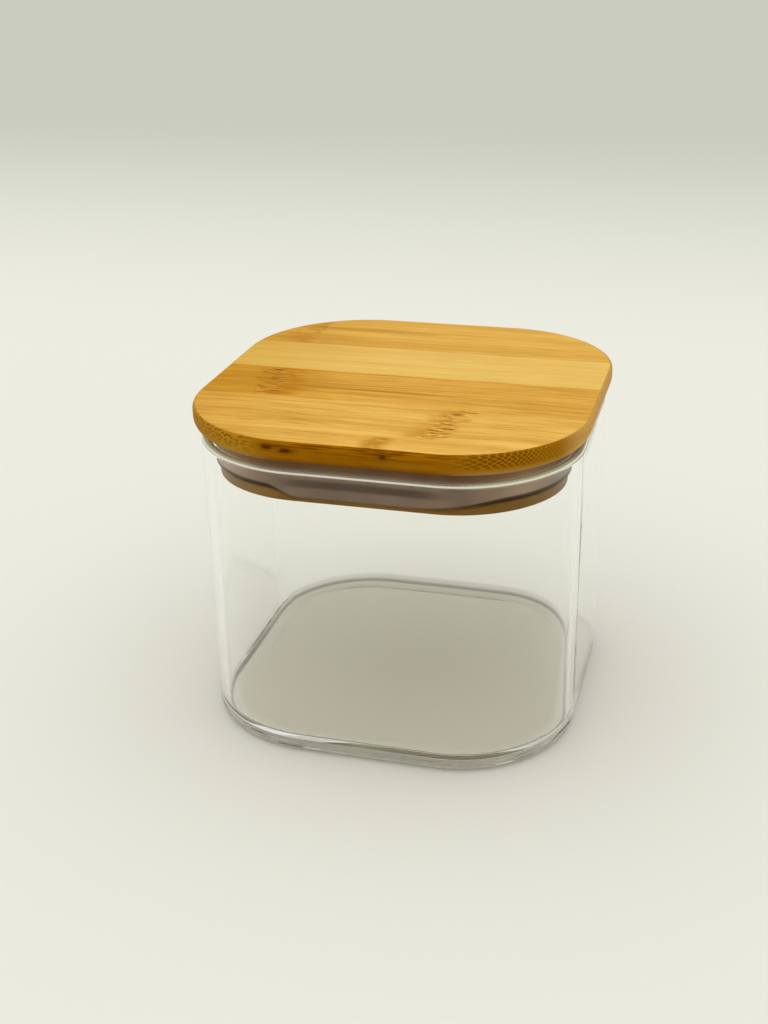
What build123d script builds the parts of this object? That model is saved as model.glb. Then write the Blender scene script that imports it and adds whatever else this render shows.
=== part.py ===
from build123d import *
import math
import os

# Lengths are in millimetres. The origin is at the centre of the jar's foot, with +Z up,
# the bamboo grain along X and the side seen from the front at -Y.

# Glass jar
jar_side = 98.0
jar_corner = 31.5
jar_height = 78.6
wall = 2.3
base_thickness = 4.0
base_outer_round = 2.8
base_inner_round = 1.0
rim_ease = 0.75  # bevel on both edges of the fire-polished rim
foot_width = 7.0  # flat ring that the jar stands on, measured from the wall's outside
push_up = 0.5  # height of the shallow hollow that blown glass has under its base
push_up_slope = 70.0  # degrees from upright, the slant at the hollow's edge

# Lid plate, glued up from bamboo slats that lie flat
plate_overhang = 1.5  # how far the plate reaches past the glass on each side
plate_corner_growth = 0.7  # how much larger its corner radius is than the glass's
plate_thickness = 6.0
plate_top_ease = 0.8  # sanded bevel round the top
plate_under_ease = 2.2  # the underside is eased much more
rim_gap = 2.2  # the seal holds the plate this far above the rim
slat_share = 0.2158  # width of a whole slat, of the plate's side
plate_rear_seam_share = 0.4454  # of the plate's side, from its middle to the rearmost glue line

# Plug under the plate, with a groove that holds the seal
plug_clearance = 2.0  # between the plug and the inside of the jar
plug_depth = 11.4
plug_ease = 0.7  # sanded bevel round the foot
groove_depth = 2.5
groove_height = 7.0
plug_rear_seam_share = 0.369  # of the plug's side, from its middle to the rearmost glue line

# Silicone seal: a band in the groove, a soft lip that bears on the glass and a skirt below it
seal_clearance = 0.2  # between the lip and the glass
seal_band = 2.1  # thickness of the band in the groove
lip_top = 2.3  # depth below the plate at which the lip first reaches the glass
lip_bottom = 2.7
skirt_gap = 0.2  # between the skirt and the plug
skirt_wall = 0.8
skirt_top = 4.0  # depth at which the lip has tapered to the skirt
skirt_bottom = 9.8  # depth of the skirt's lower edge along the straight sides
skirt_ease = 0.3
lift_depth = 7.4  # depth of the skirt's lower edge round the corners, where it is stretched
lift_foot_share = 0.76  # of the skirt's corner radius: where its edge starts to rise
lift_top_share = 0.52  # of the same radius: where the edge has risen in full
lift_blend_share = 0.2  # of the same radius: how softly the edge turns
recess_top = 5.1  # hollow line along each straight side, from this depth
recess_bottom = 7.2
recess_bite = 0.5
recess_length_share = 0.54  # of the skirt's side

# Room beyond a face that a cut runs to
overrun = 5.0

# Places worked out from the sizes above
inner_side = jar_side - 2 * wall
inner_corner = jar_corner - wall
plate_side = jar_side + 2 * plate_overhang
plate_corner = jar_corner + plate_corner_growth
plate_underside = jar_height + rim_gap
slat_width = plate_side * slat_share
plug_side = inner_side - 2 * plug_clearance
plug_corner = inner_corner - plug_clearance
core_side = plug_side - 2 * groove_depth
core_corner = plug_corner - groove_depth
seal_reach = groove_depth + plug_clearance - seal_clearance
skirt_inside = groove_depth + skirt_gap
skirt_reach = skirt_inside + skirt_wall
skirt_side = core_side + 2 * skirt_reach
skirt_corner = core_corner + skirt_reach


def rounded_square(side, corner):
    return RectangleRounded(side, side, corner)


def prism(side, corner, low, high):
    return Pos(0, 0, low) * extrude(rounded_square(side, corner), high - low)


# Jar: one blown glass wall and base, open at the top
def glass_jar():
    body = prism(jar_side, jar_corner, 0, jar_height)
    body = fillet(body.edges().group_by(Axis.Z)[0], base_outer_round)
    inside = prism(inner_side, inner_corner, base_thickness, jar_height + overrun)
    inside = fillet(inside.edges().group_by(Axis.Z)[0], base_inner_round)
    jar = body - inside
    jar = chamfer(jar.edges().group_by(Axis.Z)[-1], rim_ease)
    hollow_side = jar_side - 2 * foot_width
    hollow_outline = rounded_square(hollow_side, jar_corner - foot_width)
    return jar - extrude(hollow_outline, push_up, taper=push_up_slope)


# Boards: the plate that covers the rim, and the grooved plug below it
def lid_plate():
    top = plate_underside + plate_thickness
    plate = prism(plate_side, plate_corner, plate_underside, top)
    plate = chamfer(plate.edges().group_by(Axis.Z)[0], plate_under_ease)
    return chamfer(plate.edges().group_by(Axis.Z)[-1], plate_top_ease)


def lid_plug():
    groove_floor = plate_underside - groove_height
    foot = prism(plug_side, plug_corner, plate_underside - plug_depth, groove_floor)
    foot = chamfer(foot.edges().group_by(Axis.Z)[0], plug_ease)
    return foot + prism(core_side, core_corner, groove_floor, plate_underside)


def cut_into_slats(board, side, rear_seam):
    """The board's slats, from the back to the front, each as wide as its glue lines are apart."""
    count = math.ceil((rear_seam + side / 2) / slat_width)
    seams = [rear_seam - slat_width * i for i in range(count)]
    backs = [side / 2 + overrun] + seams
    fronts = seams + [-side / 2 - overrun]
    low = board.bounding_box().min.Z - overrun
    high = board.bounding_box().max.Z + overrun
    slats = []
    for back, front in zip(backs, fronts):
        strip = Rectangle(side + 2 * overrun, back - front)
        slab = Pos(0, (back + front) / 2, low) * extrude(strip, high - low)
        slats.append(board & slab)
    return slats


# Seal: one silicone ring, drawn as a section with X outwards and Y down from the plate
def seal_section():
    outline = Polyline(
        (0, 0),
        (seal_band, 0),
        (seal_reach, lip_top),
        (seal_reach, lip_bottom),
        (skirt_reach, skirt_top),
        (skirt_reach, skirt_bottom),
        (skirt_inside, skirt_bottom),
        (skirt_inside, groove_height),
        (0, groove_height),
        close=True,
    )
    section = make_face(outline)
    lower_edge = section.vertices().sort_by_distance((skirt_reach, skirt_bottom))[0]
    return chamfer(lower_edge, skirt_ease)


def corner_lift():
    """Wedge that shortens the skirt where the ring is stretched round a corner."""
    top = skirt_corner * lift_top_share
    foot = skirt_corner * lift_foot_share
    floor_reach = foot + overrun * (foot - top) / (skirt_bottom - lift_depth)
    floor = skirt_bottom + overrun
    outline = Polyline(
        (-floor_reach, floor),
        (-top, lift_depth),
        (top, lift_depth),
        (floor_reach, floor),
        close=True,
    )
    wedge = make_face(outline)
    shoulders = wedge.vertices().group_by(Axis.Y)[0]
    wedge = fillet(shoulders, skirt_corner * lift_blend_share)
    across = Plane(origin=(0, 0, plate_underside), x_dir=(0, -1, 0), z_dir=(1, 0, 0))
    return extrude(across * wedge, jar_side)


def side_recess():
    """Hollow line that is deepest at the middle of a side and fades out towards its ends."""
    face = skirt_side / 2
    half_length = face * recess_length_share
    bow = ThreePointArc((face, -half_length), (face - recess_bite, 0), (face, half_length))
    sides = Polyline(
        (face, half_length),
        (face + overrun, half_length),
        (face + overrun, -half_length),
        (face, -half_length),
    )
    hollow = extrude(make_face(bow + sides), recess_bottom - recess_top)
    return Pos(0, 0, plate_underside - recess_bottom) * hollow


def seal_ring():
    path = Pos(0, 0, plate_underside) * rounded_square(core_side, core_corner).wire()
    along = path % 0
    outwards = along.cross(Vector(0, 0, 1))
    start = Plane(origin=path @ 0, x_dir=outwards, z_dir=along)
    ring = sweep(start * seal_section(), path=path)
    for quarter in range(4):
        ring -= Rot(0, 0, 90 * quarter) * side_recess()
        ring -= Rot(0, 0, 90 * quarter + 45) * corner_lift()
    return ring


def write(node, solid):
    solid.label = node
    export_step(solid, f"parts/{node}.step")


def write_slats(name, board, side, rear_seam_share):
    for number, slat in enumerate(cut_into_slats(board, side, side * rear_seam_share), 1):
        write(f"{name}_{number}", slat)


os.makedirs("parts", exist_ok=True)
write("glass_jar", glass_jar())
write_slats("lid_slat", lid_plate(), plate_side, plate_rear_seam_share)
write_slats("plug_slat", lid_plug(), plug_side, plug_rear_seam_share)
write("seal_ring", seal_ring())
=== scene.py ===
import bmesh
import bpy
import math
from mathutils import Matrix, Vector


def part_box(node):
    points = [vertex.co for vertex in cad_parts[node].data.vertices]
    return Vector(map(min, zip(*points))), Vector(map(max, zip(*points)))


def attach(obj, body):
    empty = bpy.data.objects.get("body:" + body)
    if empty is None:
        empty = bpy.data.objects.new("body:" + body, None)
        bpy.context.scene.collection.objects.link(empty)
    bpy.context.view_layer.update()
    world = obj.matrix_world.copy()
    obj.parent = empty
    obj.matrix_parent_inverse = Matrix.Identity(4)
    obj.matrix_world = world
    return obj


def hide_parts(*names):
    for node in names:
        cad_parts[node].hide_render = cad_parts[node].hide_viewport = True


mm = 0.001  # Blender works in metres, the sizes below are in millimetres
closeBy = 0.02  # millimetres within which two places count as the same

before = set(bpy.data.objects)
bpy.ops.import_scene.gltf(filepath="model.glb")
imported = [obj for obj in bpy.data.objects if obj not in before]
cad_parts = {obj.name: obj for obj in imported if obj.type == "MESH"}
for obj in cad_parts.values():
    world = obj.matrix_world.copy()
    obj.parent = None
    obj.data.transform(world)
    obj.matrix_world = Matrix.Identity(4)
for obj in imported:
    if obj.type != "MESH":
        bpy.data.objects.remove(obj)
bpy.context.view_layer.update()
scene = bpy.context.scene

# camera
print("camera")
cameraLook = {
    "aim": (-2.91, -15.71, 55.08),  # the point in the middle of the picture
    "azimuth": 15.95,  # degrees to the right of the front
    "height": 24.28,  # degrees above level
    "roll": -1.15,
    "distance": 365.86,
    "nearest": 10.0,  # what is closer isn't drawn
    "lens": 49.32,
    "sensor": 36.0,
}


def addCamera(look):
    azimuth, height = math.radians(look["azimuth"]), math.radians(look["height"])
    back = Vector((
        math.sin(azimuth) * math.cos(height),
        -math.cos(azimuth) * math.cos(height),
        math.sin(height),
    ))
    right = Vector((math.cos(azimuth), math.sin(azimuth), 0))
    up = back.cross(right)
    turn = Matrix.Rotation(math.radians(look["roll"]), 3, back)
    axes = Matrix((turn @ right, turn @ up, back)).transposed()
    place = Vector(look["aim"]) * mm + back * look["distance"] * mm
    bpy.ops.object.camera_add()
    camera = bpy.context.object
    camera.name = "camera"
    camera.matrix_world = Matrix.LocRotScale(place, axes.to_quaternion(), None)
    camera.data.lens = look["lens"]
    camera.data.sensor_width = look["sensor"]
    camera.data.clip_start = look["nearest"] * mm
    scene.camera = camera


addCamera(cameraLook)

# writing shaders


class Link:  # one output of a node, on which sums are written as in Python
    def __init__(self, finish, socket):
        self.finish = finish
        self.socket = socket

    def math(self, operation, *values):
        return self.finish.node("ShaderNodeMath", {"operation": operation}, dict(enumerate(values)))

    def __add__(self, other):
        return self.math("ADD", self, other)

    def __sub__(self, other):
        return self.math("SUBTRACT", self, other)

    def __mul__(self, other):
        return self.math("MULTIPLY", self, other)

    def __truediv__(self, other):
        return self.math("DIVIDE", self, other)

    def __pow__(self, other):
        return self.math("POWER", self, other)

    def __radd__(self, other):
        return self.math("ADD", other, self)

    def __rsub__(self, other):
        return self.math("SUBTRACT", other, self)

    def __rmul__(self, other):
        return self.math("MULTIPLY", other, self)

    def __abs__(self):
        return self.math("ABSOLUTE", self)

    def sine(self):
        return self.math("SINE", self)

    def least(self, other):
        return self.math("MINIMUM", self, other)

    def most(self, other):
        return self.math("MAXIMUM", self, other)

    def over(self, limit):  # 1 above the limit, 0 below
        return self.math("GREATER_THAN", self, limit)

    def lift(self, low, high):  # 0 becomes low, 1 becomes high
        return self * (high - low) + low

    def fade(self, start, end):  # 0 at start, 1 at end, softly
        values = {"Value": self, "From Min": start, "From Max": end}
        return self.finish.node("ShaderNodeMapRange", {"interpolation_type": "SMOOTHSTEP"}, values)


class Finish:  # a material, with one method for all its nodes
    def __init__(self, name):
        self.material = bpy.data.materials.new(name)
        self.material.use_nodes = True
        self.tree = self.material.node_tree
        self.shader = self.tree.nodes["Principled BSDF"]

    def node(self, kind, settings=None, values=None, output=0):
        node = self.tree.nodes.new(kind)
        for name, setting in (settings or {}).items():
            setattr(node, name, setting)
        for name, value in (values or {}).items():
            self.feed(node.inputs[name], value)
        return Link(self, node.outputs[output])

    def feed(self, socket, value):
        if isinstance(value, Link):
            self.tree.links.new(value.socket, socket)
        elif isinstance(value, tuple) and socket.type == "RGBA":
            socket.default_value = (*value, 1)
        else:
            socket.default_value = value

    def set(self, **values):  # Base_Color=... feeds the shader's Base Color
        for name, value in values.items():
            self.feed(self.shader.inputs[name.replace("_", " ")], value)

    def place(self):  # x, y and z in the object's own frame, in millimetres
        apart = {0: self.node("ShaderNodeTexCoord", output="Object")}
        return [
            self.node("ShaderNodeSeparateXYZ", values=apart, output=axis) / mm for axis in "XYZ"
        ]

    def point(self, x, y, z):
        return self.node("ShaderNodeCombineXYZ", values={"X": x, "Y": y, "Z": z})

    def noise(self, point, detail, rough=0.5):
        values = {"Vector": point, "Scale": 1.0, "Detail": detail, "Roughness": rough}
        return self.node("ShaderNodeTexNoise", values=values)

    def pattern(self, place, rates, shifts, detail, rough=0.5):  # noise with a rate for each axis
        stretched = [at * rate + shift for at, rate, shift in zip(place, rates, shifts)]
        return self.noise(self.point(*stretched), detail, rough)

    def flatPattern(self, first, second, rates, layer, detail, rough=0.5):
        return self.noise(self.point(first * rates[0], second * rates[1], layer), detail, rough)

    def blend(self, amount, first, second, how="MIX"):
        settings = {"data_type": "RGBA", "blend_type": how}
        return self.node("ShaderNodeMix", settings, {"Factor": amount, 6: first, 7: second}, output=2)

    def mix(self, amount, first, second):  # from one shader to another
        return self.node("ShaderNodeMixShader", values={0: amount, 1: first, 2: second})

    def diffuse(self, colour):
        return self.node("ShaderNodeBsdfDiffuse", values={"Color": colour})

    def transparent(self, colour):
        return self.node("ShaderNodeBsdfTransparent", values={"Color": colour})


# modelling
selectModes = {"faces": "FACE", "edges": "EDGE"}
smoothAngle = 40  # degrees, sharper edges stay sharp


def selectOnly(piece):
    bpy.ops.object.select_all(action="DESELECT")
    piece.select_set(True)
    bpy.context.view_layer.objects.active = piece


def startEdit(piece):
    selectOnly(piece)
    bpy.ops.object.mode_set(mode="EDIT")
    bpy.ops.mesh.select_all(action="SELECT")


def turnFacesOut():
    bpy.ops.mesh.select_all(action="SELECT")
    bpy.ops.mesh.normals_make_consistent(inside=False)


def endEdit():
    turnFacesOut()
    bpy.ops.object.mode_set(mode="OBJECT")


def pick(kind, test):  # selects the faces or edges of which each corner passes the test
    bpy.ops.mesh.select_mode(type=selectModes[kind])
    bpy.ops.mesh.select_all(action="DESELECT")
    shape = bmesh.from_edit_mesh(bpy.context.object.data)
    for part in getattr(shape, kind):
        part.select_set(all(test(corner.co / mm) for corner in part.verts))
    shape.select_flush_mode()
    bmesh.update_edit_mesh(bpy.context.object.data)


def near(value, wanted):
    return abs(value - wanted) < closeBy


def cornerReach(at, side, corner):  # distance from the centre that a corner is rounded about
    middle = side / 2 - corner
    return math.hypot(max(abs(at.x) - middle, 0), max(abs(at.y) - middle, 0))


def extrudeUp(height):
    bpy.ops.mesh.extrude_region_move(TRANSFORM_OT_translate={"value": (0, 0, height * mm)})


def inset(width, depth=0.0):
    bpy.ops.mesh.inset(thickness=width * mm, depth=depth * mm)


def roundOff(radius, segments):
    bpy.ops.mesh.bevel(
        offset=radius * mm, segments=segments, affect="EDGES", clamp_overlap=False, profile=0.5
    )


def roundedBlock(name, side, corner, low, high, segments, cuts=0):
    bpy.ops.object.select_all(action="DESELECT")
    bpy.ops.mesh.primitive_plane_add(size=side * mm)
    block = bpy.context.object
    block.name = block.data.name = name
    startEdit(block)
    bpy.ops.transform.translate(value=(0, 0, low * mm))
    bpy.ops.mesh.bevel(offset=corner * mm, segments=segments, affect="VERTICES", clamp_overlap=False)
    if cuts:
        straight = side / 2 - corner + closeBy
        pick("edges", lambda at: min(abs(at.x), abs(at.y)) < straight)
        bpy.ops.mesh.subdivide(number_cuts=cuts)
    pick("faces", lambda at: True)
    extrudeUp(high - low)
    return block


def smooth(piece):
    selectOnly(piece)
    bpy.ops.object.shade_smooth_by_angle(angle=math.radians(smoothAngle))
    weigh = piece.modifiers.new("weigh", "WEIGHTED_NORMAL")
    weigh.keep_sharp = True
    bpy.ops.object.modifier_apply(modifier=weigh.name)


def dress(piece, finish, body, node):
    piece.data.materials.clear()
    piece.data.materials.append(finish.material)
    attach(piece, body)
    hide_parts(node)


# glass jar
print("glass jar")
jarLook = {
    "corner": 31.5,
    "segments": 32,
    "wall": 2.3,
    "base": 4.0,
    "outerRound": 2.8,
    "outerSegments": 8,
    "innerRound": 1.0,
    "innerSegments": 10,
    "rimRound": 1.0,
    "rimSegments": 6,
    "foot": 7.0,  # width of the flat ring that the jar stands on
    "pushUp": 0.5,  # height of the shallow hollow inside that ring
    "pushUpSlope": 1.37,  # how far in the hollow's edge slants
}


def glassJar(look):
    low, high = (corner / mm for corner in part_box("glass_jar"))
    side, rim = high.x - low.x, high.z
    jar = roundedBlock("glassJar", side, look["corner"], 0, rim, look["segments"])
    pick("faces", lambda at: near(at.z, rim))
    inset(look["wall"])
    extrudeUp(look["base"] - rim)
    pick("faces", lambda at: near(at.z, 0))
    inset(look["foot"])
    inset(look["pushUpSlope"], -look["pushUp"])
    pick("edges", lambda at: near(at.z, look["base"]))
    roundOff(look["innerRound"], look["innerSegments"])
    innerCorner = look["corner"] - look["wall"]
    pick("edges", lambda at: near(at.z, 0) and cornerReach(at, side, look["corner"]) > innerCorner)
    roundOff(look["outerRound"], look["outerSegments"])
    pick("edges", lambda at: near(at.z, rim))
    roundOff(look["rimRound"], look["rimSegments"])
    endEdit()
    smooth(jar)
    return jar


glassLook = {
    "ior": 1.47,
    "reflection": (0.1, 0.1, 0.1),
    "wallTint": (0.996, 1.0, 0.996),
    "rimFade": (77.5, 78.2),  # height at which the rim's look starts and is full
    "rimAcross": (0.8, 2.0),  # the rim's inner half, measured in from the wall's outside
    "rimTint": (0.80, 0.88, 0.76),  # thick glass seen along the wall is pale green
    # painted reflection of the dark plate above, darker on the rim's inner half
    "rimInnerShade": (0.40, 0.46, 0.20),
    "rimPale": (0.56, 0.62, 0.46),
    # painted reflection of the dark plate above, on the rim's inner half
    "rimDeepShade": (0.28, 0.33, 0.16),
    "rimDarkReflection": (0.37, 0.345, 0.275),  # along the straight sides: painted shade and reflection of the seal under the plate
    "rimAmount": 0.92,
    "turning": (4.0, 12.0),  # how far round the corner the green starts and is full
    # painted highlight along the rim's outer edge
    "paintedHighlight": (0.97, 0.93, 0.80),
    "highlightAcross": (0.28, 0.45),
    "highlightUp": (77.9, 78.1),
    "highlightAmount": 0.92,
    "baseFade": (4.2, 5.2),
    "baseAcross": (3.0, 6.5),
    # painted shade: the floor under the jar, seen through the base, darker
    "baseShadeTint": (0.84, 0.82, 0.765),
    "footFade": (3.6, 4.8),
    "footAcross": (2.4, 3.0),
    "footBack": (-10.0, 20.0),  # towards the back the painted foot shade is less dark
    "footBehind": 0.25,
    # painted shade: the shadowed floor right under the foot, seen through its round
    "footShadeTint": (0.34, 0.32, 0.25),
    "passing": (0.985, 0.985, 0.975),
    "baseShade": (0.93, 0.925, 0.90),
    "footShade": (0.42, 0.41, 0.36),
}


def glassZones(glass, look, corner, middle):
    x, y, z = glass.place()
    beyondX, beyondY = ((abs(at) - middle).most(0) for at in (x, y))
    inward = corner - (beyondX * beyondX + beyondY * beyondY) ** 0.5  # from the wall's outside
    base = 1 - z.fade(*look["baseFade"])
    foot = (1 - z.fade(*look["footFade"])) * (1 - inward.fade(*look["footAcross"]))
    return {
        "rim": z.fade(*look["rimFade"]),
        "inner": inward.fade(*look["rimAcross"]),
        "turning": beyondX.least(beyondY).fade(*look["turning"]),
        # where the painted highlight runs along the rim's outer edge
        "line": (1 - inward.fade(*look["highlightAcross"])) * z.fade(*look["highlightUp"]),
        "base": base,
        "baseMiddle": base * inward.fade(*look["baseAcross"]),
        "foot": foot,
        # where the painted foot shade goes, strongest at the front
        "frontFootShade": foot * y.fade(*look["footBack"]).lift(1.0, look["footBehind"]),
    }


def glassTintsAndShade(glass, look, zones):
    # the rim's inner half is tinted darker: a painted reflection of the dark plate above
    rimColour = glass.blend(zones["inner"], look["rimTint"], look["rimInnerShade"])
    colour = glass.blend(zones["rim"], look["wallTint"], rimColour)
    # painted shade in the base, where the floor under the jar is in shadow
    colour = glass.blend(zones["baseMiddle"], colour, look["baseShadeTint"])
    # painted shade at the foot, where the floor under the jar's edge is in shadow
    colour = glass.blend(zones["frontFootShade"], colour, look["footShadeTint"])
    glass.set(
        Base_Color=colour,
        Roughness=0.0,
        IOR=look["ior"],
        Transmission_Weight=1.0,
        Specular_Tint=look["reflection"],
    )
    return Link(glass, glass.shader.outputs[0])


def paintedRim(glass, look, zones, surface):  # diffuse colours on the rim: a painted reflection of the dark plate and seal, and a painted highlight along its outer edge
    # the inner half is painted darker: a painted reflection of the dark plate above
    green = glass.mix(zones["inner"], glass.diffuse(look["rimPale"]), glass.diffuse(look["rimDeepShade"]))
    # along the straight sides the rim gets a painted shade and reflection of the seal under the plate
    edge = glass.mix(zones["turning"], glass.diffuse(look["rimDarkReflection"]), green)
    surface = glass.mix(zones["rim"] * look["rimAmount"], surface, edge)
    return glass.mix(zones["line"] * look["highlightAmount"], surface, glass.diffuse(look["paintedHighlight"]))


def lightThrough(glass, look, zones, surface):  # lamps and light from the floor pass through
    passing = glass.transparent(look["passing"])
    passing = glass.mix(zones["base"], passing, glass.transparent(look["baseShade"]))
    passing = glass.mix(zones["foot"], passing, glass.transparent(look["footShade"]))
    shadow = glass.node("ShaderNodeLightPath", output="Is Shadow Ray")
    bounce = glass.node("ShaderNodeLightPath", output="Is Diffuse Ray")
    return glass.mix(shadow.most(bounce), surface, passing)


def clearGlass(look, corner, middle):
    glass = Finish("clearGlass")
    zones = glassZones(glass, look, corner, middle)
    surface = glassTintsAndShade(glass, look, zones)
    surface = paintedRim(glass, look, zones, surface)
    surface = lightThrough(glass, look, zones, surface)
    glass.feed(glass.tree.nodes["Material Output"].inputs["Surface"], surface)
    return glass


jar = glassJar(jarLook)
jarMiddle = jar.dimensions.x / mm / 2 - jarLook["corner"]
dress(jar, clearGlass(glassLook, jarLook["corner"], jarMiddle), "jar", "glass_jar")

# seal
print("seal")
sealLook = {
    "corner": 29.0,
    "segments": 24,
    "cuts": 31,
    "band": 2.1,  # thickness of the part in the groove
    "groove": 7.0,
    "slope": 2.2,  # how far the lip leans out before it bears on the glass
    "lipTop": 2.3,  # depths are measured down from the plate
    "lipBottom": 2.7,
    "taper": 0.8,  # how far the skirt lies inside the lip
    "skirtTop": 4.0,
    "skirt": 0.8,  # thickness of the skirt
    "rounds": {"lipTop": 0.18, "lipBottom": 0.18, "foot": 0.3},
    "roundSegments": 4,
    "recessTop": 5.1,
    "recessBottom": 7.2,
    "recessBite": 0.5,
    "recessHalf": 24.7,
    "recessSlack": 0.1,
    "skin": 0.05,  # how far inside the outer face a point still counts as on it
    "lift": 2.4,  # how much the skirt's foot rises round the corners
    "liftEnds": (21.4, 14.7),  # how far from the corner's middle the rise starts and ends
    "easyEnds": (24.5, 3.0),  # the same where the skirt rises more gently, right of the middle
    "sideReach": 0.8,  # the lifted stretch reaches further along the left and right sides
    "liftedWhole": 0.5,  # the part that rises in full, measured up from the foot
    "pinch": 0.45,  # how much thinner the skirt is at the corners, where it is stretched
}


def sealHeights(look):
    low, high = (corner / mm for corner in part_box("seal_ring"))
    names = ("lipTop", "lipBottom", "skirtTop", "recessTop", "recessBottom", "groove")
    heights = {name: high.z - look[name] for name in names}
    return {**heights, "foot": low.z, "side": high.x - low.x}


def sealBlank(look, heights):
    ring = roundedBlock(
        "sealRing",
        heights["side"],
        look["corner"],
        heights["lipBottom"],
        heights["lipTop"],
        look["segments"],
        look["cuts"],
    )
    turnFacesOut()
    pick("faces", lambda at: near(at.z, heights["lipTop"]))
    inset(look["slope"], look["lipTop"])
    inset(look["band"])
    extrudeUp(-look["groove"])
    bpy.ops.mesh.delete(type="FACE")
    pick("faces", lambda at: near(at.z, heights["lipBottom"]))
    inset(look["taper"], heights["lipBottom"] - heights["skirtTop"])
    steps = [heights[name] for name in ("skirtTop", "recessTop", "recessBottom", "foot")]
    for upper, lower in zip(steps, steps[1:]):
        extrudeUp(lower - upper)
    inset(look["skirt"])
    extrudeUp(heights["groove"] - heights["foot"])
    inset(look["slope"] + look["band"] - look["taper"] - look["skirt"])
    bpy.ops.mesh.delete(type="FACE")
    bpy.ops.mesh.select_all(action="SELECT")
    bpy.ops.mesh.remove_doubles(threshold=closeBy * mm)
    for name, radius in look["rounds"].items():
        pick("edges", lambda at: near(at.z, heights[name]))
        roundOff(radius, look["roundSegments"])
    return ring


def pressIn(point, at, look):  # the hollow line along each side
    along = min(abs(at.x), abs(at.y))
    bite = look["recessBite"] * mm * max(0, 1 - (along / look["recessHalf"]) ** 2)
    if abs(at.x) > abs(at.y):
        point.co.x -= math.copysign(bite, at.x)
    else:
        point.co.y -= math.copysign(bite, at.y)


def riseShare(at, look):  # 1 where the skirt's lower edge has risen in full
    beside = abs(abs(at.x) - abs(at.y)) / math.sqrt(2)
    ends = look["liftEnds"]
    if abs(at.x) > abs(at.y):
        beside *= look["sideReach"]
    elif at.x > 0:
        ends = look["easyEnds"]
    none, full = ends
    share = min(max((none - beside) / (none - full), 0), 1)
    return share * share * (3 - 2 * share)


def raiseFoot(point, at, outside, look, heights):
    tall = heights["skirtTop"] - heights["foot"] - look["liftedWhole"]
    weight = min(max((heights["skirtTop"] - at.z) / tall, 0), 1) * riseShare(at, look)
    point.co.z += look["lift"] * mm * weight
    if outside:
        away = Vector((point.co.x, point.co.y, 0)).normalized()
        point.co -= away * look["pinch"] * mm * weight


def sealRing(look):
    heights = sealHeights(look)
    ring = sealBlank(look, heights)
    side = heights["side"] - 2 * look["taper"]
    corner = look["corner"] - look["taper"]
    lowest = heights["recessBottom"] - look["recessSlack"]
    highest = heights["recessTop"] + look["recessSlack"]
    shape = bmesh.from_edit_mesh(ring.data)
    for point in shape.verts:
        at = point.co / mm
        outside = cornerReach(at, side, corner) > corner - look["skin"]
        if outside and lowest < at.z < highest:
            pressIn(point, at, look)
        if at.z < heights["skirtTop"] and (outside or not near(at.z, heights["groove"])):
            raiseFoot(point, at, outside, look, heights)
    bmesh.update_edit_mesh(ring.data)
    endEdit()
    smooth(ring)
    return ring


def lifted(x, y, look):  # riseShare for a shader
    ahead = abs(x) - abs(y)
    beside = ahead.over(0)
    easy = x.over(0) * (1 - beside)
    away = abs(ahead) / math.sqrt(2) * beside.lift(1.0, look["sideReach"])
    none, full = (easy.lift(*ends) for ends in zip(look["liftEnds"], look["easyEnds"]))
    return away.fade(none, full)


def sealFoot(x, y, look):  # height of the skirt's lower edge
    return lifted(x, y, look) * look["lift"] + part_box("seal_ring")[0].z / mm


siliconeLook = {
    "dark": (0.172, 0.112, 0.070),
    "light": (0.210, 0.138, 0.086),
    "cloud": (0.12, 0.12, 0.12),
    "cloudFade": (0.35, 0.65),
    # painted light: the seal is lighter round the corners, where more light reaches it
    "stretched": (0.37, 0.243, 0.148),
    "stretchedAcross": (3.0, 20.0),  # distance from the corner's middle over which the painted light fades
    "rightLightSlack": 5.0,  # the painted light at the corners reaches less far on the right
    "rightward": (-20.0, 20.0),
    "shade": (0.06, 0.03, 0.012),
    "hollowTop": (4.6, 5.7),  # depth at which the hollow line's shade starts and is full
    "hollowBottom": (6.6, 7.6),
    "hollowAlong": (12.0, 24.7),
    "hollowShade": 0.85,
    "footFade": (0.15, 0.5),
    "footShade": 0.8,
    "roughness": 0.38,
    "ior": 1.41,
}


def silicone(look, form):
    rubber = Finish("silicone")
    x, y, z = rubber.place()
    cloud = rubber.pattern((x, y, z), look["cloud"], (0, 0, 0), detail=2)
    colour = rubber.blend(cloud.fade(*look["cloudFade"]), look["dark"], look["light"])
    away = abs(abs(x) - abs(y)) / math.sqrt(2) + x.fade(*look["rightward"]) * look["rightLightSlack"]
    # painted light: lighter round the corners
    corner = 1 - away.fade(*look["stretchedAcross"])
    colour = rubber.blend(corner, colour, look["stretched"])
    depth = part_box("seal_ring")[1].z / mm - z
    hollow = depth.fade(*look["hollowTop"]) * (1 - depth.fade(*look["hollowBottom"]))
    hollow = hollow * (1 - abs(x).least(abs(y)).fade(*look["hollowAlong"]))
    colour = rubber.blend(hollow * look["hollowShade"], colour, look["shade"])
    above = z - sealFoot(x, y, form)
    foot = 1 - above.fade(*look["footFade"])
    colour = rubber.blend(foot * look["footShade"], colour, look["shade"])
    rubber.set(Base_Color=colour, Roughness=look["roughness"], IOR=look["ior"])
    return rubber


dress(sealRing(sealLook), silicone(siliconeLook, sealLook), "lid", "seal_ring")

# bamboo boards
print("bamboo boards")
plateLook = {
    "corner": 32.2,
    "segments": 28,
    "topRound": 1.0,
    "underRound": 3.2,
    "roundSegments": 6,
}
plugLook = {
    "corner": 27.2,
    "segments": 28,
    "footRound": 0.8,
    "roundSegments": 4,
    "groove": 2.5,
    "grooveHeight": 7.0,
}


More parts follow.
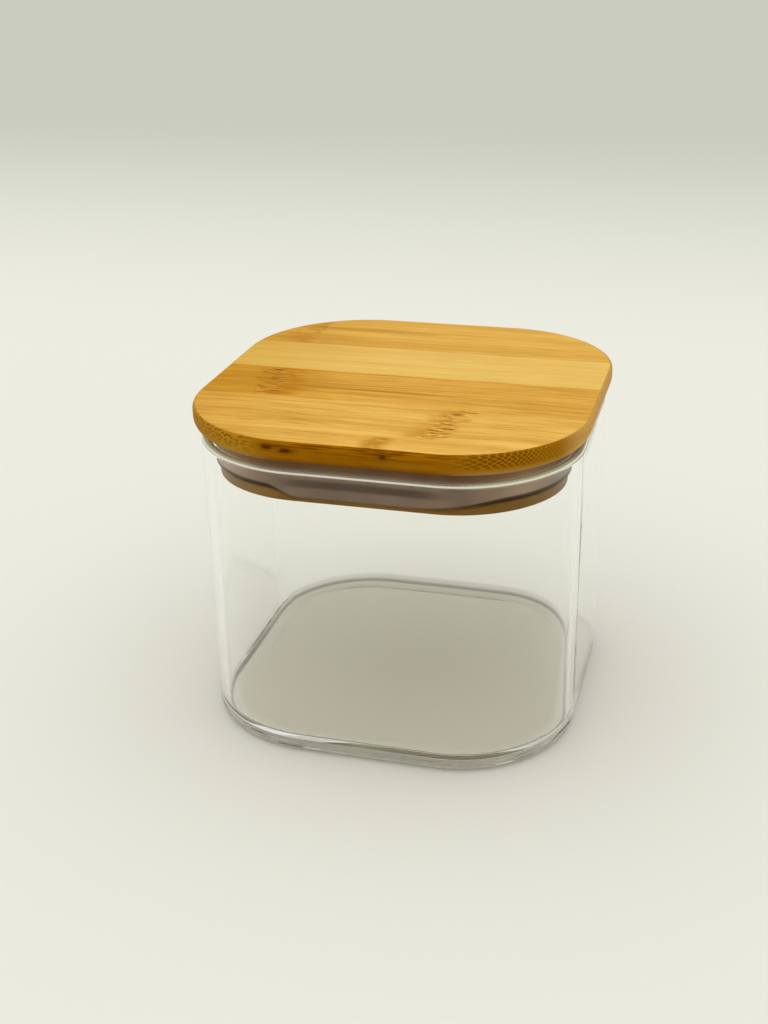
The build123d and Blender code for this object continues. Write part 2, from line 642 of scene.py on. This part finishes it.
def plate(look):
    low, high = (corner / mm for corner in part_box("lid_slat_3"))
    board = roundedBlock("plate", high.x - low.x, look["corner"], low.z, high.z, look["segments"])
    for level, radius in ((high.z, look["topRound"]), (low.z, look["underRound"])):
        pick("edges", lambda at: near(at.z, level))
        roundOff(radius, look["roundSegments"])
    endEdit()
    return board


def plug(look):
    low, high = (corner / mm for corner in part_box("plug_slat_3"))
    ledge = high.z - look["grooveHeight"]
    board = roundedBlock("plug", high.x - low.x, look["corner"], low.z, ledge, look["segments"])
    pick("faces", lambda at: near(at.z, ledge))
    inset(look["groove"])
    extrudeUp(look["grooveHeight"])
    pick("edges", lambda at: near(at.z, low.z))
    roundOff(look["footRound"], look["roundSegments"])
    endEdit()
    return board


def cutSlat(board, name, node, front, back):  # what lies between the node's two glue lines
    selectOnly(board)
    bpy.ops.object.duplicate()
    slat = bpy.context.object
    slat.name = slat.data.name = name
    low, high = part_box(node)
    for seam, outward, boardEnd in ((low.y, -1, front), (high.y, 1, back)):
        if near(seam / mm, boardEnd / mm):
            continue
        startEdit(slat)
        bpy.ops.mesh.bisect(
            plane_co=(0, seam, 0), plane_no=(0, outward, 0), use_fill=True, clear_outer=True
        )
        endEdit()
    smooth(slat)
    return slat


# bamboo finish
boardSide = {
    "start": (-0.14, -0.01),  # depth below the top at which the side starts
    "cornerTurn": (0.0, 0.4),  # share of the corner over which the end grain comes in
}


class Bamboo(Finish):  # the wood of one slat, which the functions below paint in turn
    def __init__(self, name, look, shape):
        super().__init__(name)
        self.look = look
        self.shape = shape
        self.seed = look["seed"]
        self.x, self.y, height = self.place()
        self.z = height - shape["top"]
        middle = shape["side"] / 2 - shape["corner"]
        self.alongCorner = (abs(self.x) - middle) / shape["corner"]
        self.edge = (1 - self.z.fade(*boardSide["start"])) * self.z.fade(*shape["foot"])
        self.ends = self.alongCorner.fade(*boardSide["cornerTurn"]) * self.edge

    def paint(self, amount, colour, how="MIX"):
        self.colour = self.blend(amount, self.colour, colour, how)


fibreLook = {  # patterns have a rate for each axis, and fades say where they start and are full
    "sway": (0.02, 0.05, 0.05),
    "fine": (0.07, 1.7, 1.7),
    "fineRough": 0.65,
    "medium": (0.018, 0.55, 0.55),
    "broad": (0.008, 0.13, 0.13),
    "shares": (0.75, 0.42, 0.5),
    "toneFade": (0.61, 1.06),
    "hair": (0.08, 2.3, 2.3),
    "hairRough": 0.4,
    "hairFade": (0.55, 0.66),
    "patch": (0.03, 0.12, 0.12),  # the hairs are stronger in patches
    "patchFade": (0.4, 0.65),
    "patchShare": (0.3, 1.0),
    "relief": 0.35,
    "hairRelief": 0.4,
    "leftward": (-4.0, -52.0),
}


def addFibres(wood, grain):  # they run along X and wander a little
    look, seed = wood.look, wood.seed
    shifts = (0, seed, 0)
    sway = wood.pattern((wood.x, wood.y, wood.z), grain["sway"], shifts, detail=1) - 0.5
    wood.level = wood.y + sway * look["wander"]
    place = (wood.x, wood.level, wood.z)
    fine = wood.pattern(place, grain["fine"], shifts, detail=4, rough=grain["fineRough"])
    medium = wood.pattern(place, grain["medium"], shifts, detail=2)
    broad = wood.pattern(place, grain["broad"], shifts, detail=1)
    fineShare, mediumShare, broadShare = grain["shares"]
    tone = fine * fineShare + medium * mediumShare + broad * broadShare
    wood.colour = wood.blend(tone.fade(*grain["toneFade"]), look["dark"], look["light"])
    hairs = wood.pattern(place, grain["hair"], (0, 0, seed), detail=2, rough=grain["hairRough"])
    patches = wood.pattern(place, grain["patch"], (0, 0, -seed), detail=1)
    patches = patches.fade(*grain["patchFade"]).lift(*grain["patchShare"])
    hairs = hairs.fade(*grain["hairFade"]) * patches
    wood.paint(hairs * look["hairs"], look["fibre"])
    wood.paint(wood.x.fade(*grain["leftward"]), look["leftShade"], "MULTIPLY")
    wood.fine = fine
    wood.relief = fine * grain["relief"] - hairs * grain["hairRelief"]


jointLook = {
    "ripple": (0.3, 0.3),
    "within": (0.85, 1.05),  # shares of half the joint's length
    "blotch": (0.14, 0.4),
    "blotchRough": 0.6,
    "blotchFade": (0.32, 0.58),
    "stainCore": 0.2,
    "stainOffEdge": 0.6,  # how much of it is left out on the board's side
    "combCore": 0.5,
    "combOffEdge": 0.9,
    "curl": (0.35, 0.35),
    "glint": (0.3, 1.3),
    "glintFade": (0.57, 0.63),
    "dash": (0.24, 1.6),
    "dashFade": (0.52, 0.57),
    "knotFade": (0.59, 0.64),
}


def addJoint(wood, node, joint):  # a joint of the cane: a brown stain and a comb of short dashes
    x, y, z, look, seed = wood.x, wood.y, wood.z, wood.look, wood.seed
    along = y - node["y"]
    ripple = wood.flatPattern(y, z, joint["ripple"], seed + node["x"], detail=2) - 0.5
    off = x - node["x"] - along * node["slant"] + ripple * node["ragged"]
    within = 1 - abs(along).fade(*(node["half"] * share for share in joint["within"]))
    blotch = wood.flatPattern(x, y, joint["blotch"], seed + 3, detail=3, rough=joint["blotchRough"])
    stain = 1 - abs(off - node["lean"]).fade(node["spread"] * joint["stainCore"], node["spread"])
    stain = stain * within * blotch.fade(*joint["blotchFade"])
    wood.paint(stain * (1 - wood.edge * joint["stainOffEdge"]) * node["stain"], look["stain"])
    comb = (1 - abs(off).fade(node["width"] * joint["combCore"], node["width"])) * within
    comb = comb * (1 - wood.edge * joint["combOffEdge"])
    curl = (wood.flatPattern(x, y, joint["curl"], seed + 7, detail=1) - 0.5) * node["curl"]
    glint = wood.flatPattern(x, y + curl, joint["glint"], seed + 9, detail=2)
    wood.paint(glint.fade(*joint["glintFade"]) * comb * node["glint"], look["shine"])
    dashes = wood.flatPattern(x, y + curl, joint["dash"], seed, detail=2)
    wood.paint(dashes.fade(*joint["dashFade"]) * comb * node["dashes"], look["dash"])
    wood.paint(dashes.fade(*joint["knotFade"]) * comb * node["dashes"], look["knotAndShade"])


streakLook = {
    "core": 0.2,  # share of the streak's thickness
    "start": (-4.0, 2.0),
    "tail": 0.6,  # share of its length over which it fades out
    "least": 0.4,
}


def addStreak(wood, streak, form):
    x = wood.x
    off = abs(wood.level - streak["y"] + (x - streak["x"]) * streak.get("slant", 0))
    line = 1 - off.fade(streak["thick"] * form["core"], streak["thick"])
    far = streak["x"] + streak["long"]
    start = x.fade(*(streak["x"] + at for at in form["start"]))
    tail = 1 - x.fade(far - streak["long"] * form["tail"], far)
    strength = line * start * tail * streak["dark"] * (form["least"] + wood.fine)
    wood.paint(strength, wood.look["fibre"])


sideLook = {
    "upper": (-3.2, -1.2),
    # lowest: painted shade on the lower round, which faces down
    "lowest": (-3.6, -5.4),
    "streak": (0.075, 0.2, 2.2),
    "streakFade": (0.46, 0.56),
    "streakShare": (0.15, 1.0),  # below and above
    "golden": (0.045, 0.2, 0.9),
    "goldenFade": (0.42, 0.6),
    "rough": 0.6,
}


def shadeAndStreakSides(wood, side):  # painted shade makes the sides darker than the top, which faces the light above, and darker still on the lower round; the golden and dark streaks are the grain
    look, seed = wood.look, wood.seed
    place = (wood.x, wood.y, wood.z)
    # painted shade: the sides darker than the top
    wood.paint(wood.edge, look["edge"], "MULTIPLY")
    upper = wood.z.fade(*side["upper"])
    golden = wood.pattern(place, side["golden"], (0, 0, -seed), detail=3, rough=side["rough"])
    golden = golden.fade(*side["goldenFade"]) * (1 - upper) * wood.edge
    wood.paint(golden * look["golden"], look["goldenColour"])
    longSide = wood.edge * (1 - wood.ends)
    streaks = wood.pattern(place, side["streak"], (0, 0, seed), detail=3, rough=side["rough"])
    streaks = streaks.fade(*side["streakFade"]) * upper.lift(*side["streakShare"]) * longSide
    wood.paint(streaks * look["sideStreaks"], look["knotAndShade"])
    # painted shade on the lower round
    wood.paint(wood.z.fade(*side["lowest"]) * longSide * look["lowest"], look["knotAndShade"])


endLook = {
    "rightward": (-10.0, 10.0),
    "litTips": (0.82, 0.99),  # share of the corner; painted light makes it paler where it nearly faces along X, towards the side lamps
    "fibreFade": (0.35, 0.65),
    "fibre": 0.3,
    "bend": (0.7, 0.7),
    "bendBy": 0.8,
    "latticeFade": (0.08, 0.5),
    "latticeTips": (0.6, 0.95),
    "latticeLess": 0.5,
    "dotRandom": 0.65,
    "dotFade": (0.45, 0.15),
    "dotUp": (-4.6, -1.6),
    "dotShare": (0.3, 1.0),
    "relief": 0.1,
}


def addEndGrain(wood, end):  # the corners show the cut ends of the fibre bundles
    look, z = wood.look, wood.z
    rightward = wood.x.fade(*end["rightward"])
    ground = wood.blend(rightward, look["leftEnd"], look["rightEnd"])
    # painted highlight: the lower round is paler, lit by the bright floor below
    ground = wood.blend(1 - z.fade(*look["footFade"]), ground, look["footSheen"])
    # painted light where the corner faces the side lamps
    ground = wood.blend(wood.alongCorner.fade(*end["litTips"]), ground, look["litTip"])
    ground = wood.blend(wood.fine.fade(*end["fibreFade"]) * end["fibre"], ground, look["fibre"])
    wood.paint(wood.ends * look["endTint"], ground)
    bundles = lattice(wood, end) * rightward + dots(wood, end) * (1 - rightward)
    bundles = bundles * wood.ends * z.fade(*look["bundleFade"])
    wood.paint(bundles, look["bundleColour"])
    wood.relief = wood.relief - bundles * end["relief"]


def lattice(wood, end):  # diamonds
    width, tall = wood.look["bundle"]
    y, z = wood.y / width, wood.z / tall
    bend = (wood.flatPattern(wood.y, wood.z, end["bend"], wood.seed, detail=1) - 0.5) * end["bendBy"]
    diamonds = (math.pi * (y + z + bend)).sine() * (math.pi * (y - z + bend)).sine()
    less = 1 - wood.alongCorner.fade(*end["latticeTips"]) * end["latticeLess"]
    return abs(diamonds).fade(*end["latticeFade"]) * less * wood.look["lattice"]


def dots(wood, end):
    size = wood.look["dot"]
    settings = {"voronoi_dimensions": "2D"}
    values = {"Vector": wood.point(wood.y / size, wood.z / size, 0), "Scale": 1.0}
    values["Randomness"] = end["dotRandom"]
    cells = wood.node("ShaderNodeTexVoronoi", settings, values, output="Distance")
    upward = wood.z.fade(*end["dotUp"]).lift(*end["dotShare"])
    return cells.fade(*end["dotFade"]) * upward * wood.look["dots"]


gapLook = {"start": (-0.4, 0.0), "end": (1.5, 0.8), "dark": 0.95}


def shadeGap(wood, gap, seal):  # dark in the narrow gap under the seal's edge
    below = sealFoot(wood.x, wood.y, seal) - wood.z - wood.shape["top"]
    shade = below.fade(*gap["start"]) * below.fade(*gap["end"]) * lifted(wood.x, wood.y, seal)
    wood.paint(shade * gap["dark"], wood.look["knotAndShade"])


spotLook = {
    "halo": (2.0, 0.6),
    "haloDark": 0.5,
    "ragged": (0.7, 1.0, 4.2),
    "raggedBy": 1.8,
    "fade": (0.9, 0.4),
}


def addSpot(wood, spot, form):  # a small dark knot on the front side
    x, y, z = wood.x, wood.y, wood.z
    away = wood.point((x - spot["x"]) / spot["wide"], 0, (z - spot["z"]) / spot["tall"])
    away = wood.node("ShaderNodeVectorMath", {"operation": "LENGTH"}, {0: away}, output="Value")
    wood.paint(away.fade(*form["halo"]) * wood.edge * form["haloDark"], wood.look["knotAndShade"])
    ragged = wood.pattern((x, y, z), form["ragged"], (0, 0, 0), detail=3) - 0.5
    core = (away + ragged * form["raggedBy"]).fade(*form["fade"])
    wood.paint(core * wood.edge, wood.look["spot"])


surfaceLook = {"roughness": 0.5, "shine": 0.01, "bump": 0.4, "bumpDepth": 0.12}


def bamboo(name, look, shape):
    wood = Bamboo(name, look, shape)
    addFibres(wood, fibreLook)
    for node in look.get("nodes", []):
        addJoint(wood, node, jointLook)
    for streak in look.get("streaks", []):
        addStreak(wood, streak, streakLook)
    shadeAndStreakSides(wood, sideLook)
    addEndGrain(wood, endLook)
    if "seal" in shape:
        shadeGap(wood, gapLook, shape["seal"])
    for spot in look.get("spots", []):
        addSpot(wood, spot, spotLook)
    surface = surfaceLook
    values = {"Strength": surface["bump"], "Distance": surface["bumpDepth"] * mm, "Height": wood.relief}
    wood.set(
        Base_Color=wood.colour,
        Roughness=surface["roughness"],
        Specular_IOR_Level=surface["shine"],
        Normal=wood.node("ShaderNodeBump", values=values),
    )
    return wood


plateShape = {"top": 86.8, "side": 101.0, "corner": 32.2, "foot": (-5.99, -5.8)}
plugShape = {"top": 80.8, "side": 89.4, "corner": 27.2, "foot": (-11.35, -10.9), "seal": sealLook}
plateWood = {  # what the plate's slats share
    "dark": (0.63, 0.32, 0.048),
    "light": (0.84, 0.50, 0.105),
    "fibre": (0.42, 0.18, 0.010),
    "hairs": 0.45,
    "wander": 2.2,
    "leftShade": (0.88, 0.83, 0.64),
    "stain": (0.47, 0.19, 0.004),
    # dark brown for knots and streaks, also used for the painted shade on the lower round and in the gap
    # under the seal
    "knotAndShade": (0.16, 0.048, 0.0003),
    "dash": (0.42, 0.155, 0.001),
    "shine": (0.95, 0.62, 0.15),
    # painted shade: the sides darker than the top, which faces the light above
    "edge": (0.45, 0.285, 0.004),
    "sideStreaks": 0.85,
    # painted shade on the lower round of the long side
    "lowest": 0.45,
    "golden": 0.5,
    "goldenColour": (0.30, 0.145, 0.005),
    "endTint": 0.85,
    "leftEnd": (0.46, 0.23, 0.015),
    "rightEnd": (0.38, 0.17, 0.003),
    # painted light on the corner where it faces the side lamps
    "litTip": (0.78, 0.47, 0.14),
    "footFade": (-5.0, -3.9),
    # painted highlight on the lower round, lit by the bright floor
    "footSheen": (0.36, 0.23, 0.09),
    "bundle": (0.86, 1.1),
    "bundleFade": (-4.2, -3.0),
    "lattice": 0.8,
    "dot": 0.75,
    "dots": 0.8,
    "bundleColour": (0.18, 0.06, 0.0003),
    "spot": (0.085, 0.025, 0.001),
}
plateSlats = {
    "lid_slat_1": {"seed": 1.0, "light": (0.78, 0.45, 0.095)},
    "lid_slat_2": {
        "seed": 2.0,
        "light": (0.80, 0.475, 0.092),
        "nodes": [
            {"x": -36.5, "y": 33.5, "half": 11, "slant": 0.05, "ragged": 3, "lean": -2.5, "spread": 7,
             "stain": 0.5, "width": 2.5, "dashes": 0.35, "glint": 0.1, "curl": 1},
        ],
        "streaks": [
            {"x": -36, "y": 38.6, "thick": 2.2, "long": 42, "dark": 0.5},
            {"x": -36, "y": 24.4, "thick": 1.2, "long": 50, "dark": 0.25},
            {"x": -20, "y": 29.5, "thick": 0.7, "long": 60, "dark": 0.15},
        ],
    },
    "lid_slat_3": {"seed": 3.0, "dark": (0.73, 0.44, 0.100), "light": (0.83, 0.545, 0.135), "hairs": 0.12},
    "lid_slat_4": {
        "seed": 4.0,
        "dark": (0.54, 0.26, 0.030),
        "light": (0.81, 0.45, 0.078),
        "leftShade": (0.85, 0.76, 0.30),
        "nodes": [
            {"x": -30.0, "y": -9.5, "half": 10.8, "slant": -0.1, "ragged": 6, "lean": 0.0, "spread": 15,
             "stain": 0.4, "width": 0.1, "dashes": 0.0, "glint": 0.0, "curl": 1},
            {"x": -34.6, "y": -9.0, "half": 10.6, "slant": -0.22, "ragged": 3, "lean": 3.0, "spread": 8,
             "stain": 0.9, "width": 4.6, "dashes": 0.9, "glint": 0.3, "curl": 0.6},
        ],
        "streaks": [
            {"x": -38, "y": -8.1, "thick": 0.8, "long": 16, "dark": 1.0},
            {"x": -36, "y": -8.2, "thick": 0.7, "long": 86, "dark": 0.6},
            {"x": -30, "y": -11.6, "thick": 1.0, "long": 60, "dark": 0.9},
            {"x": -30, "y": -15.2, "thick": 0.9, "long": 60, "dark": 0.4},
            {"x": -46, "y": -3.6, "thick": 0.7, "long": 14, "dark": 0.5},
        ],
    },
    "lid_slat_5": {
        "seed": 5.0,
        "wander": 5.0,
        "light": (0.86, 0.53, 0.115),
        "nodes": [
            {"x": 18.0, "y": -31.5, "half": 10.6, "slant": 0.22, "ragged": 7, "lean": -2.0, "spread": 7.5,
             "stain": 0.55, "width": 3.8, "dashes": 0.95, "glint": 0.7, "curl": 0.9},
        ],
        "streaks": [
            {"x": -24, "y": -31.0, "thick": 0.8, "long": 12, "dark": 0.5, "slant": 0.1},
            {"x": -20, "y": -36.0, "thick": 0.8, "long": 14, "dark": 0.5, "slant": 0.15},
        ],
    },
    "lid_slat_6": {
        "seed": 6.0,
        "lattice": 0.95,
        "nodes": [
            {"x": 4.0, "y": -46.8, "half": 4.5, "slant": 0.1, "ragged": 3, "lean": 0.0, "spread": 5.0,
             "stain": 0.7, "width": 2.0, "dashes": 0.5, "glint": 0.3, "curl": 1.5},
        ],
        "spots": [
            {"x": -21.4, "z": -1.7, "wide": 1.6, "tall": 0.8},
            {"x": -16.6, "z": -2.2, "wide": 2.2, "tall": 0.8},
            {"x": 7.0, "z": -1.8, "wide": 1.2, "tall": 0.7},
        ],
    },
}
plugWood = {  # what the plug's slats share
    "dark": (0.19, 0.093, 0.008),
    "light": (0.29, 0.145, 0.015),
    "fibre": (0.12, 0.06, 0.014),
    "hairs": 0.45,
    "wander": 2.2,
    "leftShade": (1.0, 1.0, 1.0),
    "knotAndShade": (0.03, 0.010, 0.001),
    "edge": (0.9, 0.85, 0.75),
    "sideStreaks": 0.4,
    "lowest": 0.0,
    "golden": 0.0,
    "goldenColour": (0.3, 0.2, 0.1),
    "endTint": 0.6,
    "leftEnd": (0.29, 0.17, 0.05),
    "rightEnd": (0.235, 0.11, 0.010),
    "litTip": (0.28, 0.16, 0.05),
    "footFade": (-12.0, -11.5),
    # painted highlight on the plug's lower edge, lit by the bright floor
    "footSheen": (0.32, 0.22, 0.11),
    "bundle": (0.5, 0.55),
    "bundleFade": (-12.0, -11.5),
    "lattice": 0.5,
    "dot": 0.5,
    "dots": 0.6,
    "bundleColour": (0.13, 0.075, 0.028),
}
plugSlats = {f"plug_slat_{number}": {"seed": 10.0 + number} for number in range(1, 6)}


def makeSlats(board, slats, shared, shape, title):
    front = min(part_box(node)[0].y for node in slats)
    back = max(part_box(node)[1].y for node in slats)
    for number, (node, look) in enumerate(slats.items(), 1):
        slat = cutSlat(board, f"{title}{number}", node, front, back)
        finish = bamboo(f"{title}Bamboo{number}", {**shared, **look}, shape)
        dress(slat, finish, "lid", node)
    bpy.data.objects.remove(board)


makeSlats(plate(plateLook), plateSlats, plateWood, plateShape, "plateSlat")
makeSlats(plug(plugLook), plugSlats, plugWood, plugShape, "plugSlat")

# floor and light
print("floor and light")
floorLook = {
    "size": 16000.0,
    "below": 0.1,  # how far under the jar's foot it lies
    "near": (0.80, 0.80, 0.71),
    "far": (0.56, 0.575, 0.50),
    "fade": (250.0, 950.0),  # how far behind the jar the paper turns greyer: painted shade, as the light falls off towards the back
    "roughness": 0.8,
}
lampLook = {  # suns, with their angles, their softness in degrees and their strength
    "top": {"angles": (14, 0, 0), "soft": 90, "strength": 0.85},
    "left": {"angles": (0, 55, 0), "soft": 100, "strength": 0.2},
    "right": {"angles": (0, -55, 0), "soft": 100, "strength": 0.3},
}
roomLook = {
    "front": 0.55,
    "back": 0.78,
    "turn": (-0.8, 0.3),  # from where to where the light rises, along the direction's Y
    "bounces": 128,
    "clearBounces": 32,
}


def addFloor(look):
    bpy.ops.object.select_all(action="DESELECT")
    bpy.ops.mesh.primitive_plane_add(size=look["size"] * mm)
    floor = bpy.context.object
    floor.name = floor.data.name = "floor"
    floor.location.z = -look["below"] * mm
    paper = Finish("paper")
    behind = paper.place()[1]
    # painted shade: the paper greyer further back, where less light falls
    colour = paper.blend(behind.fade(*look["fade"]), look["near"], look["far"])
    paper.set(Base_Color=colour, Roughness=look["roughness"], Specular_IOR_Level=0.0)
    floor.data.materials.append(paper.material)


def addLamps(look):
    for name, lamp in look.items():
        angles = [math.radians(angle) for angle in lamp["angles"]]
        bpy.ops.object.light_add(type="SUN", rotation=angles)
        sun = bpy.context.object
        sun.name = name
        sun.data.angle = math.radians(lamp["soft"])
        sun.data.energy = lamp["strength"]


def lightRoom(look):
    world = bpy.data.worlds.new("room")
    scene.world = world
    world.use_nodes = True
    nodes, links = world.node_tree.nodes, world.node_tree.links
    where = nodes.new("ShaderNodeTexCoord")
    apart = nodes.new("ShaderNodeSeparateXYZ")
    fade = nodes.new("ShaderNodeMapRange")
    links.new(where.outputs["Generated"], apart.inputs[0])
    links.new(apart.outputs["Y"], fade.inputs["Value"])
    fade.inputs["From Min"].default_value, fade.inputs["From Max"].default_value = look["turn"]
    fade.inputs["To Min"].default_value = look["front"]
    fade.inputs["To Max"].default_value = look["back"]
    links.new(fade.outputs[0], nodes["Background"].inputs["Strength"])
    nodes["Background"].inputs["Color"].default_value = (1, 1, 1, 1)


addFloor(floorLook)
addLamps(lampLook)
lightRoom(roomLook)
scene.view_settings.view_transform = "Standard"
scene.cycles.max_bounces = roomLook["bounces"]
scene.cycles.glossy_bounces = roomLook["bounces"]
scene.cycles.transmission_bounces = roomLook["bounces"]
scene.cycles.transparent_max_bounces = roomLook["clearBounces"]
